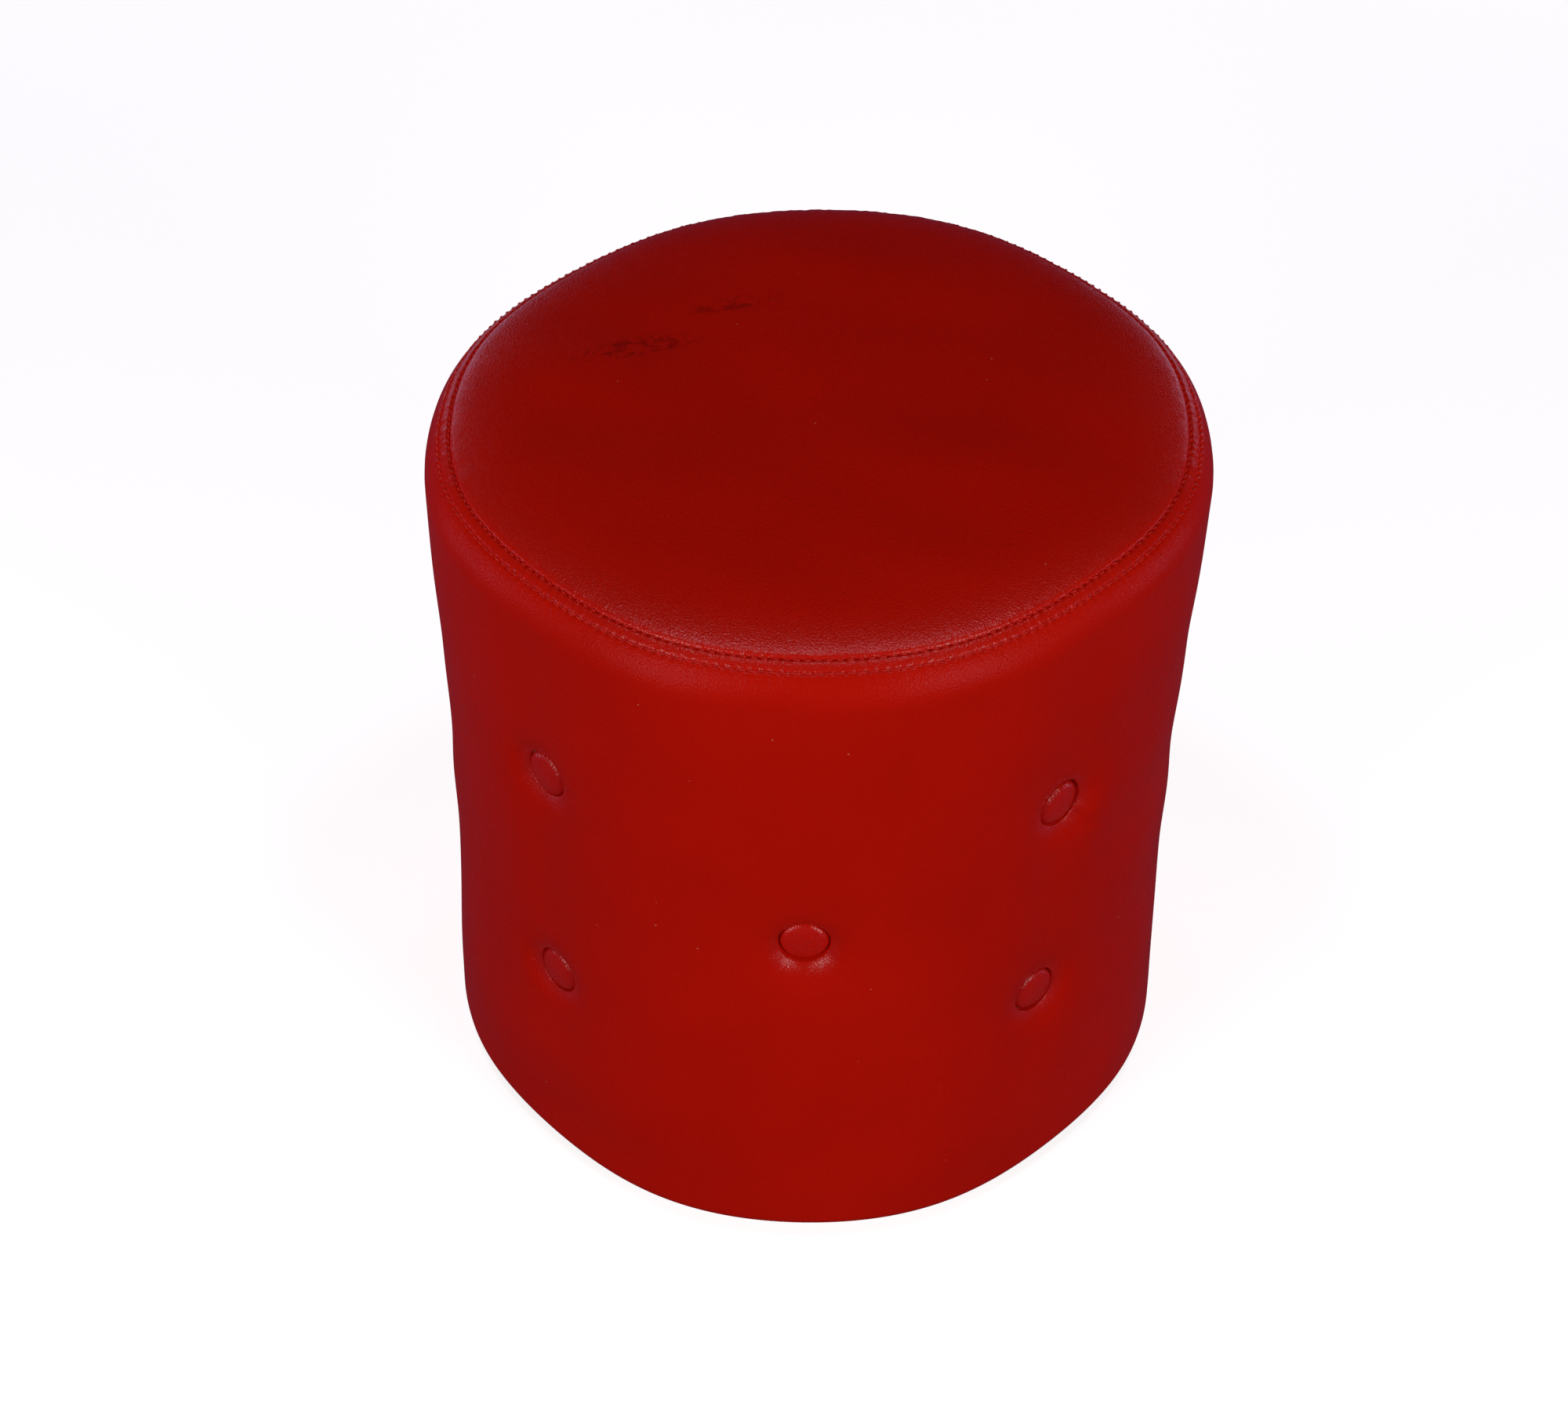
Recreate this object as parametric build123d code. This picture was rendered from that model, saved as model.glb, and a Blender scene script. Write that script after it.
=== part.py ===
from build123d import *
import math
import os

# A round pouf stool: a board and post frame inside a bent wall tube, wrapped in foam and
# covered in leatherette, with covered buttons tied into the side. Millimetres, +Z up,
# the origin on the floor under the middle, the front towards -Y.

# Overall sizes
overall_height = 400.0          # floor to the crown of the seat
side_radius = 190.5             # outside of the side cover at half height

# Side and seat outline, measured on the outside of the covers
shoulder_bulge = 3.9            # how far the side stands out just under the seam
shoulder_drop = 22.2            # seam down to the widest place
flare_height = 160.0            # height over which the side widens to the shoulder
seam_inset = 9.4                # seam inside the side radius
crown_rise = 8.8                # crown of the seat above the seam
seat_roll_width = 32.6          # width of the steep roll between seam and seat top
seat_roll_drop = 7.5            # drop over that roll
bottom_edge_radius = 8.0        # rounding where the side cover turns under the base
topstitch_share = 0.755         # place of the topstitch from the widest place to the seam

# Soft layers
cover_thickness = 1.2
side_foam_thickness = 21.3
seat_foam_height = 53.8         # top board up to the underside of the crown
seam_allowance = 10.0           # folded edge of the top cover, inside the side cover
allowance_lap = 1.0             # how far the folded edge reaches up past the seam

# Frame
board_thickness = 15.0
wall_thickness = 3.0
post_width = 30.0
post_inset = 40.0               # board rim to the middle of a post
post_turn = 22.5                # degrees from a button column to the next post

# Covered buttons and their ties
button_diameter = 24.6
button_height = 7.0             # seat of the button to the top of its dome
button_rim_height = 2.6
button_cover_thickness = 1.0
button_neck_radius = 5.0        # opening in the back of a button's cover
foam_behind_button = 8.8
dimple_floor_clearance = 1.2    # round the button's rim
dimple_mouth_radius = 36.0
eye_radius = 2.2
eye_wire_radius = 0.5
eye_depth = 1.6                 # middle of the eye behind the button's seat
twine_radius = 0.6
twine_loop_radius = 1.8
twine_loop_depth = 4.4          # middle of the loop behind the button's seat
knot_radius = 2.2
tie_clearance = 0.3             # round an eye or a twine where it passes through
washer_radius = 9.0
washer_thickness = 1.5
washer_wall_gap = 0.05          # rim of a washer to the curved wall

# Button pattern: heights above or below the middle row, and columns in degrees from
# the front, positive towards +X
middle_row_rise = 11.2          # middle row above the middle of the side
upper_row_rise = 57.0
lower_row_drop = 76.8
upper_and_lower_columns = [-45.0, 45.0, 135.0, -135.0]
middle_columns = [0.0, 90.0, 180.0, -90.0]

# Hand-tied buttons wander a little: degrees round the side, and height
button_drift = {
    "upper_button_1": (0.2, 1.0),
    "lower_button_1": (0.9, -2.3),
    "upper_button_2": (-3.4, -3.8),
    "lower_button_2": (-5.2, 1.7),
    "middle_button_1": (-0.3, 0.0),
}

# Thread and fasteners
seam_thread_radius = 0.4
topstitch_thread_radius = 0.5
staple_wire = 0.6
staple_crown = 10.0
staple_leg = 8.0
wall_staples_per_rim = 12
cover_staple_count = 24
cover_staple_margin = 5.0       # glide edge to the cover's staples
cover_edge_margin = 6.0         # cover's staples to its raw edge
dust_cover_thickness = 0.6
dust_cover_inset = 3.0          # dust cover edge inside the board rim
dust_staple_count = 16
dust_staple_margin = 5.0
screw_radius = 2.0
screw_length = 40.0
screw_head_radius = 4.0
screw_head_height = 2.6
screw_slot_length = 4.8
screw_slot_width = 1.0
screw_slot_depth = 1.4

# Glides
glide_count = 4
glide_height = 5.0
glide_radius = 12.0
glide_inset = 20.0              # board rim to the middle of a glide
glide_edge_radius = 1.5
glide_screw_recess = 1.0        # floor to the screw head
glide_screw_length = 15.0

# Places that follow from the sizes above
dust_cover_bottom = glide_height
cover_bottom = dust_cover_bottom + dust_cover_thickness
base_bottom = cover_bottom + cover_thickness
base_top = base_bottom + board_thickness
seat_board_top = overall_height - cover_thickness - seat_foam_height
seat_board_bottom = seat_board_top - board_thickness
seam_height = overall_height - crown_rise
seam_radius = side_radius - seam_inset
shoulder_radius = side_radius + shoulder_bulge
shoulder_height = seam_height - shoulder_drop
wall_outer_radius = side_radius - cover_thickness - side_foam_thickness
board_radius = wall_outer_radius - wall_thickness
button_radius = button_diameter / 2
button_seat_radius = wall_outer_radius + foam_behind_button + cover_thickness
middle_row_height = (cover_bottom + seam_height) / 2 + middle_row_rise
glide_circle = board_radius - glide_inset
cover_staple_circle = glide_circle - glide_radius - cover_staple_margin
cover_edge_radius = cover_staple_circle - cover_edge_margin
dust_cover_radius = board_radius - dust_cover_inset
dust_staple_circle = dust_cover_radius - dust_staple_margin
post_circle = board_radius - post_inset
beyond = 2 * (overall_height + side_radius)     # larger than the whole stool


def spread(count, start=0.0):
    """Evenly spaced angles round the stool."""
    return [start + 360.0 * index / count for index in range(count)]


def facing_out(angle, height):
    """Plane at the axis whose normal points out of the side at this angle and height."""
    turn = math.radians(angle)
    outwards = Vector(math.sin(turn), -math.cos(turn), 0)
    sideways = Vector(math.cos(turn), math.sin(turn), 0)
    return Plane(origin=(0, 0, height), x_dir=sideways, z_dir=outwards)


def on_circle(angle, radius, height):
    """Place at a distance from the axis, with X pointing away from the axis."""
    return Rot(0, 0, angle) * Pos(radius, 0, height)


def slab(bottom, top):
    """Everything between two heights."""
    middle = Pos(0, 0, (bottom + top) / 2)
    return middle * Cylinder(beyond, top - bottom)


def ring_of(section):
    """Body made by turning a section, drawn as radius and height, about the axis."""
    return revolve(Plane.XZ * section, Axis.Z)


def shoulder_curve():
    """Outline from the widest place up to the seam."""
    start = (shoulder_radius, shoulder_height)
    return TangentArc([start, (seam_radius, seam_height)], tangent=(0, 1))


def outline(inset):
    """Half of the cross-section of the covered stool, drawn in by the inset."""
    flat_edge = side_radius - bottom_edge_radius
    side_foot = (side_radius, cover_bottom + bottom_edge_radius)
    shoulder = (shoulder_radius, shoulder_height)
    flare_start = (side_radius, shoulder_height - flare_height)
    roll_top = (seam_radius - seat_roll_width, seam_height + seat_roll_drop)
    crown = ThreePointArc((-roll_top[0], roll_top[1]), (0, overall_height), roll_top)
    right = Curve() + [
        TangentArc([(flat_edge, cover_bottom), side_foot], tangent=(1, 0)),
        Line(side_foot, flare_start),
        Line(flare_start, shoulder),
        shoulder_curve(),
        TangentArc([roll_top, (seam_radius, seam_height)], tangent=crown % 1),
    ]
    base = Line((-flat_edge, cover_bottom), (flat_edge, cover_bottom))
    section = make_face((right + mirror(right, Plane.YZ) + crown + base).edges())
    drawn_in = offset(section, -inset) if inset else section
    right_half = Pos(beyond / 2, 0) * Rectangle(beyond, 2 * beyond)
    return drawn_in & right_half


def button_places():
    """Name, angle and height of every button."""
    rows = [
        ("upper_button", upper_and_lower_columns, middle_row_height + upper_row_rise),
        ("middle_button", middle_columns, middle_row_height),
        ("lower_button", upper_and_lower_columns, middle_row_height - lower_row_drop),
    ]
    places = []
    for row_name, columns, height in rows:
        for number, angle in enumerate(columns, start=1):
            name = f"{row_name}_{number}"
            turn, rise = button_drift.get(name, (0.0, 0.0))
            places.append((name, angle + turn, height + rise))
    return places


def dimple(inset):
    """Flat-bottomed hollow round a button, drawn in by the inset, along +Z."""
    floor = button_seat_radius - inset
    floor_radius = button_radius + dimple_floor_clearance
    depth = side_radius - button_seat_radius
    widening = (dimple_mouth_radius - floor_radius) / depth
    reach = depth + shoulder_bulge + inset + cover_thickness
    rim_radius = floor_radius + widening * reach
    return Pos(0, 0, floor) * Cone(floor_radius, rim_radius, reach,
                                   align=(Align.CENTER, Align.CENTER, Align.MIN))


def radial_pin(radius, start, end):
    """Round pin along +Z between two distances from the axis."""
    return Pos(0, 0, start) * Cylinder(radius, end - start,
                                       align=(Align.CENTER, Align.CENTER, Align.MIN))


def tufted_body(inset):
    """Filled body of the stool, drawn in by the inset, with its dimples."""
    hollows = [facing_out(angle, height) * dimple(inset) for _, angle, height in places]
    return ring_of(outline(inset)) - hollows


def button_dome(drawn_in):
    """Domed disc of a button standing on its seat along +Z, drawn in by a thickness."""
    rim = button_radius - drawn_in
    base = button_seat_radius + drawn_in
    rim_top = button_seat_radius + button_rim_height
    crown = button_seat_radius + button_height - drawn_in
    half = Curve() + [
        Line((0, base), (rim, base)),
        Line((rim, base), (rim, rim_top)),
        ThreePointArc((rim, rim_top), (0, crown), (-rim, rim_top)),
        Line((-rim, rim_top), (-rim, base)),
        Line((-rim, base), (0, base)),
    ]
    section = make_face(half.edges()) & (Pos(beyond / 2, 0) * Rectangle(beyond, 2 * beyond))
    return ring_of(section)


def button_core():
    """Hard core of a covered button with its neck and wire eye, along +Z."""
    neck = radial_pin(button_neck_radius, button_seat_radius,
                      button_seat_radius + button_cover_thickness)
    eye = Pos(0, 0, button_seat_radius - eye_depth) * Rot(90, 0, 0) * Torus(eye_radius, eye_wire_radius)
    return button_dome(button_cover_thickness) + neck + eye


def twine():
    """Twine along +Z: a loop through the eye, a straight run and a knot inside the wall."""
    loop_middle = button_seat_radius - twine_loop_depth
    loop = Pos(0, 0, loop_middle) * Rot(0, 90, 0) * Torus(twine_loop_radius, twine_radius)
    inner_end = washer_outer_face - washer_thickness - knot_radius
    run = radial_pin(twine_radius, inner_end, loop_middle - twine_loop_radius)
    knot = Pos(0, 0, inner_end) * Sphere(knot_radius)
    return loop + run + knot


def washer():
    """Flat washer behind the wall, along +Z."""
    inner_face = washer_outer_face - washer_thickness
    disc = radial_pin(washer_radius, inner_face, washer_outer_face)
    return disc - radial_pin(twine_radius + tie_clearance, inner_face, washer_outer_face)


def at_buttons(piece):
    """One copy of a piece at every button."""
    return [facing_out(angle, height) * piece for _, angle, height in places]


def staple(leg_direction=1):
    """Staple with its crown along Y and its legs along X, on the outside of that face."""
    half_leg = leg_direction * staple_leg / 2
    crown = Box(staple_wire, staple_crown, staple_wire)
    shift = (staple_crown - staple_wire) / 2
    legs = [Pos(half_leg, side * shift, 0) * Box(staple_leg, staple_wire, staple_wire)
            for side in (-1, 1)]
    return crown + legs


def screw_hole(length):
    """Countersunk hole that a screw fills, from its head face up +Z."""
    head = Cone(screw_head_radius, screw_radius, screw_head_height,
                align=(Align.CENTER, Align.CENTER, Align.MIN))
    return head + Cylinder(screw_radius, length, align=(Align.CENTER, Align.CENTER, Align.MIN))


def countersunk_screw(length):
    """Screw with its head face at the origin and its point up +Z."""
    slots = [Rot(0, 0, turn) * Box(screw_slot_length, screw_slot_width, 2 * screw_slot_depth)
             for turn in (0, 90)]
    return screw_hole(length) - slots


def save(name, shape):
    """Write one node."""
    export_step(shape, f"parts/{name}.step")


def save_set(name, pieces):
    """Write one node of several separate pieces."""
    save(name, Compound(children=pieces))


os.makedirs("parts", exist_ok=True)
places = button_places()
washer_outer_face = math.sqrt(board_radius ** 2 - washer_radius ** 2) - washer_wall_gap

# Screws, staples and threads, made first because the other pieces are cut to take them
post_angles = spread(4, post_turn)
glide_angles = spread(glide_count, 45.0)
lower_screw_places = [on_circle(angle, post_circle, base_bottom) for angle in post_angles]
upper_screw_places = [on_circle(angle, post_circle, seat_board_top) * Rot(180, 0, 0)
                      for angle in post_angles]
glide_screw_places = [on_circle(angle, glide_circle, glide_screw_recess) for angle in glide_angles]
lower_screw_holes = [place * screw_hole(screw_length) for place in lower_screw_places]
upper_screw_holes = [place * screw_hole(screw_length) for place in upper_screw_places]
glide_screw_holes = [place * screw_hole(glide_screw_length) for place in glide_screw_places]

rim_heights = [(base_bottom + base_top) / 2, (seat_board_bottom + seat_board_top) / 2]
wall_staples = [on_circle(angle, wall_outer_radius - staple_wire, height) * staple(-1)
                for height in rim_heights for angle in spread(wall_staples_per_rim)]
upright = Rot(0, -90, 0) * staple()
cover_staples = [on_circle(angle, cover_staple_circle, cover_bottom + staple_wire / 2) * upright
                 for angle in spread(cover_staple_count, 7.5)]
dust_cover_staples = [on_circle(angle, dust_staple_circle, dust_cover_bottom + staple_wire / 2)
                      * upright for angle in spread(dust_staple_count, 11.25)]

topstitch_point = shoulder_curve() @ topstitch_share
topstitch_thread = Pos(0, 0, topstitch_point.Y) * Torus(topstitch_point.X, topstitch_thread_radius)
seam_thread = Pos(0, 0, seam_height) * Torus(seam_radius, seam_thread_radius)
threads = [topstitch_thread, seam_thread]

# Ties and buttons
eye_hole = radial_pin(eye_radius + eye_wire_radius + tie_clearance, board_radius + wall_thickness / 2,
                      button_seat_radius)
eye_holes = at_buttons(eye_hole)
twine_holes = at_buttons(radial_pin(twine_radius + tie_clearance, post_circle, wall_outer_radius + 1))
button_cover = button_dome(0) - button_core()

# Covers and foam
outer_body = tufted_body(0)
foam_body = tufted_body(cover_thickness)
skin = outer_body - foam_body
below_seam = slab(-beyond, seam_height)
above_seam = slab(seam_height, beyond)
under_opening = slab(-beyond, base_bottom) & Cylinder(cover_edge_radius, beyond)
side_cover = (skin & below_seam) - under_opening - threads - eye_holes - cover_staples
side_cover = side_cover - dust_cover_staples - glide_screw_holes

folded_edge = ring_of(outline(cover_thickness)) - ring_of(outline(2 * cover_thickness))
folded_edge = folded_edge & slab(seam_height - seam_allowance, seam_height + allowance_lap)
top_cover = (skin & above_seam) + folded_edge - threads

seat_foam = (foam_body & slab(seat_board_top, beyond)) - folded_edge - threads
wall_bore = Cylinder(wall_outer_radius, beyond)
side_foam = (foam_body & slab(-beyond, seat_board_top)) - wall_bore - eye_holes

# Frame
frame_height = seat_board_top - base_bottom
wall_middle = Pos(0, 0, (base_bottom + seat_board_top) / 2)
wall_tube = wall_middle * (Cylinder(wall_outer_radius, frame_height) - Cylinder(board_radius, frame_height))
wall_tube = wall_tube - twine_holes - wall_staples
board = Cylinder(board_radius, board_thickness)
base_board = Pos(0, 0, rim_heights[0]) * board - lower_screw_holes - glide_screw_holes
base_board = base_board - wall_staples - cover_staples - dust_cover_staples
top_board = Pos(0, 0, rim_heights[1]) * board - upper_screw_holes - wall_staples
post = Box(post_width, post_width, seat_board_bottom - base_top)
post_middle_height = (base_top + seat_board_bottom) / 2

# Underside
dust_cover = Pos(0, 0, dust_cover_bottom) * Cylinder(
    dust_cover_radius, dust_cover_thickness, align=(Align.CENTER, Align.CENTER, Align.MIN))
dust_cover = dust_cover - dust_cover_staples - glide_screw_holes
glide_blank = Cylinder(glide_radius, glide_height, align=(Align.CENTER, Align.CENTER, Align.MIN))
glide_blank = fillet(glide_blank.edges().group_by(Axis.Z)[0], glide_edge_radius)
head_recess = Cylinder(screw_head_radius, glide_screw_recess,
                       align=(Align.CENTER, Align.CENTER, Align.MIN))
glide_blank = glide_blank - head_recess

save("base_board", base_board)
save("top_board", top_board)
save("wall_tube", wall_tube)
save("side_foam", side_foam)
save("seat_foam", seat_foam)
save("side_cover", side_cover)
save("top_cover", top_cover)
save("seam_thread", seam_thread)
save("topstitch_thread", topstitch_thread)
save("dust_cover", dust_cover)
save_set("lower_post_screws", [place * countersunk_screw(screw_length) for place in lower_screw_places])
save_set("upper_post_screws", [place * countersunk_screw(screw_length) for place in upper_screw_places])
save_set("glide_screws", [place * countersunk_screw(glide_screw_length) for place in glide_screw_places])
save_set("wall_staples", wall_staples)
save_set("cover_staples", cover_staples)
save_set("dust_cover_staples", dust_cover_staples)
save_set("button_cores", at_buttons(button_core()))
save_set("button_twines", at_buttons(twine()))
save_set("tie_washers", at_buttons(washer()))
for name, angle, height in places:
    save(name, facing_out(angle, height) * button_cover)
for number, angle in enumerate(post_angles, start=1):
    placed_post = on_circle(angle, post_circle, post_middle_height) * post
    save(f"post_{number}", placed_post - lower_screw_holes - upper_screw_holes)
for number, angle in enumerate(glide_angles, start=1):
    save(f"glide_{number}", on_circle(angle, glide_circle, 0) * glide_blank - glide_screw_holes)
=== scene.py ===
import math

import bpy
import numpy as np
from mathutils import Matrix, Vector


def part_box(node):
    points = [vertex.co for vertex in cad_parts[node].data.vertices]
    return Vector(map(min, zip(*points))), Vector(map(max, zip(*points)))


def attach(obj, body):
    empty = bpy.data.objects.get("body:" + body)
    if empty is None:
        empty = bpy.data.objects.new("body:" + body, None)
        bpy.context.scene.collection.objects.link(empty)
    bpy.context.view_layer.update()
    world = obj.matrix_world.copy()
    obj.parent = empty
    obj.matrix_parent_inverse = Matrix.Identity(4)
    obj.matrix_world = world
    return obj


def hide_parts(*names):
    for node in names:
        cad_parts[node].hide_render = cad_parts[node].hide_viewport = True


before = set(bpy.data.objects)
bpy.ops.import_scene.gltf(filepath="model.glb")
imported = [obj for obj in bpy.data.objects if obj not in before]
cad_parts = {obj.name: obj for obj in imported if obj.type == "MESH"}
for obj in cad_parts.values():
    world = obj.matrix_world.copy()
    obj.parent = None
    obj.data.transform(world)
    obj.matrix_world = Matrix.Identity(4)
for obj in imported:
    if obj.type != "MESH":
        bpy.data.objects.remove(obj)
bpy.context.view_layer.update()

# A round pouf stool in deep red leatherette, tufted with covered buttons. Lengths are in
# millimetres until a mesh is made. Angles go round the stool from the front (-Y) towards +X.
MM = 0.001


def node_box(node):
    """Lowest and highest corner of a CAD node, in millimetres."""
    low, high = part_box(node)
    return np.array(low) / MM, np.array(high) / MM


# ---- Places taken from the CAD model ----
seam_low, seam_high = node_box("seam_thread")
seam_height = (seam_low[2] + seam_high[2]) / 2
seam_radius = seam_high[0] - (seam_high[2] - seam_low[2]) / 2
crown_height = node_box("top_cover")[1][2]
shoulder_radius = node_box("side_cover")[1][0]
cover_bottom = node_box("side_cover")[0][2]
wall_radius = node_box("wall_tube")[1][0]
seat_board_top = node_box("top_board")[1][2]
base_bottom = node_box("base_board")[0][2]
dust_low, dust_high = node_box("dust_cover")
staple_circle = node_box("cover_staples")[1][0]

# ---- Outline of the side band ----
side_radius = shoulder_radius - 3.9
shoulder_height = seam_height - 22.2
flare_end_height = 200.0
foot_swell = 3.0                    # how far the foam stands out at the bottom
foot_swell_height = 150.0
bottom_edge_radius = 7.0
raw_edge_radius = staple_circle - 6.0
seam_slope = math.radians(61.85)    # turn from the widest place to the seam
seat_roundness = 6.0                # higher is flatter in the middle of the seat
seat_fullness = 0.72                # lower is a steeper roll at the seam

# ---- Hand-made unevenness ----
plan_lobes = [(4, 0.0104, -1.5), (8, -0.0045, 0.0), (2, 0.0045, 0.0)]   # waves, size, turn
seat_lean = 0.022                   # the seat rises towards +X
lean_start_height = 230.0
seat_squash = 0.010                 # the seat is this much shorter from front to back

# ---- Buttons ----
button_seat_radius = 178.0          # distance of a button's back from the axis
button_points = 72                  # round each button, in the cover
cap_points = 64                     # round each button, on its own edge
dimple_lip = 13.4                   # edge of the cover round a button
dimple_lip_level = 183.2            # distance of that edge from the axis
dimple_near_share = 0.6
dimple_near_width = 4.6
dimple_far_width = 26.0
tuck_clearance = 0.4                # between a button's back and the cover under it
overlap_share = 0.35                # how much a second dimple adds where two meet
valley_depth = 2.4                  # dip between an upper and a lower button
valley_width = 19.0

# ---- Stitches ----
stitch_count = 236
columns_per_stitch = 4
topstitch_drop = 6.9                # along the cover, below the seam
thread_radius = 0.42
stitch_share = 0.66                 # of the pitch that one stitch covers
fine_columns = stitch_count * columns_per_stitch


# ---- Helpers ----
def new_object(name, points, faces, material=None, smooth=True):
    """Mesh object from points in millimetres."""
    mesh = bpy.data.meshes.new(name)
    mesh.from_pydata([tuple(p) for p in np.asarray(points) * MM], [], [list(f) for f in faces])
    mesh.validate()
    mesh.update()
    for polygon in mesh.polygons:
        polygon.use_smooth = smooth
    if material is not None:
        mesh.materials.append(material)
    made = bpy.data.objects.new(name, mesh)
    bpy.context.scene.collection.objects.link(made)
    return made


def set_attribute(obj, name, values):
    """Store one number for each point."""
    layer = obj.data.attributes.new(name, "FLOAT", "POINT")
    layer.data.foreach_set("value", np.asarray(values, dtype=np.float32))


def smooth_step(value, low, high):
    t = np.clip((value - low) / (high - low), 0.0, 1.0)
    return t * t * (3 - 2 * t)


def bell(value, centre, width):
    """1 at the centre, fading to nothing on both sides."""
    return np.exp(-((value - centre) / width) ** 2)


def waves(seed, count, longest, shortest):
    """Random waves over a surface: wave numbers and phases that repeat each run."""
    rng = np.random.default_rng(seed)
    length = np.exp(rng.uniform(math.log(shortest), math.log(longest), count))
    turn = rng.uniform(0, math.pi, count)
    return 2 * math.pi / length, turn, rng.uniform(0, 2 * math.pi, count)


def uneven(x, y, kind):
    """Smooth unevenness from -1 to 1 over two coordinates in millimetres."""
    numbers, turns, phases = kind
    total = np.zeros(np.broadcast(x, y).shape)
    for number, turn, phase in zip(numbers, turns, phases):
        total += np.sin(number * (x * math.cos(turn) + y * math.sin(turn)) + phase)
    return total / math.sqrt(len(numbers))


def circle(count):
    """Angles of evenly spaced points round a circle."""
    return np.arange(count) * 2 * math.pi / count


def level_ring(turns, radius, height):
    """Points round the axis at one distance and height."""
    flat = [radius * np.sin(turns), -radius * np.cos(turns)]
    return np.stack(flat + [np.broadcast_to(height, turns.shape)], axis=-1)


seat_unevenness = waves(11, 7, 260.0, 70.0)
side_unevenness = waves(12, 9, 220.0, 60.0)
fine_unevenness = waves(13, 12, 26.0, 7.0)
pucker_unevenness = waves(14, 12, 8.0, 2.6)


def plan_factor(angle):
    """How far the stool stands out at an angle, against a true circle."""
    total = np.ones_like(np.asarray(angle, dtype=float))
    for count, size, turn in plan_lobes:
        total = total + size * np.cos(count * (angle - math.radians(turn)))
    return total


def lean(x, z):
    """Rise of the upper part towards +X."""
    return seat_lean * x * smooth_step(z, lean_start_height, seam_height)


def around(angle, radius, height):
    """Points from angle, distance and height, leaning as the upper part does."""
    x = radius * np.sin(angle)
    squash = 1 - seat_squash * smooth_step(height, lean_start_height, seam_height)
    y = -radius * np.cos(angle) * squash
    return np.stack([x, y, height + lean(x, height)], axis=-1)


# ---- Shape of the side band ----
def side_outline():
    """Distance down the cover from the seam, with radius and height there."""
    drop = seam_height - shoulder_height
    arc_radius = drop / math.sin(seam_slope)
    centre = shoulder_radius - arc_radius
    turn = np.linspace(seam_slope, 0, 40)
    radius = [centre + arc_radius * np.cos(turn)]
    height = [shoulder_height + arc_radius * np.sin(turn)]
    radius[0] += (seam_radius - radius[0][0]) * (turn / seam_slope) ** 2
    foot = cover_bottom + bottom_edge_radius
    z = np.linspace(shoulder_height, foot, 180)[1:]
    swell = smooth_step(z, flare_end_height, shoulder_height)
    foot_out = foot_swell * smooth_step(-z, -foot_swell_height, 0.0)
    radius.append(side_radius + foot_out + (shoulder_radius - side_radius) * swell)
    height.append(z)
    turn = np.linspace(0, math.pi / 2, 24)[1:]
    foot_radius = radius[-1][-1]
    radius.append(foot_radius - bottom_edge_radius * (1 - np.cos(turn)))
    height.append(foot - bottom_edge_radius * np.sin(turn))
    under = np.linspace(foot_radius - bottom_edge_radius, raw_edge_radius, 20)[1:]
    radius.append(under)
    height.append(np.full_like(under, cover_bottom))
    radius = np.concatenate(radius)
    height = np.concatenate(height)
    along = np.concatenate([[0], np.cumsum(np.hypot(np.diff(radius), np.diff(height)))])
    return along, radius, height


outline_along, outline_radius, outline_height = side_outline()
normal_radius = -np.gradient(outline_height, outline_along)
normal_height = np.gradient(outline_radius, outline_along)
side_length = outline_along[-1]


def along_at_height(height):
    """Distance down the cover from the seam at a height on the side."""
    count = np.searchsorted(-outline_height, -(cover_bottom + 1.0))
    return float(np.interp(-height, -outline_height[:count], outline_along[:count]))


corner_along = along_at_height(cover_bottom + bottom_edge_radius)


def find_buttons():
    """Name, angle, height and distance down the cover of every CAD button."""
    found = []
    for row in ("upper", "middle", "lower"):
        for number in range(1, 5):
            name = f"{row}_button_{number}"
            low, high = node_box(name)
            middle = (low + high) / 2
            angle = math.atan2(middle[0], -middle[1])
            found.append((name, angle, middle[2], along_at_height(middle[2])))
    return found


buttons = find_buttons()

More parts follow.
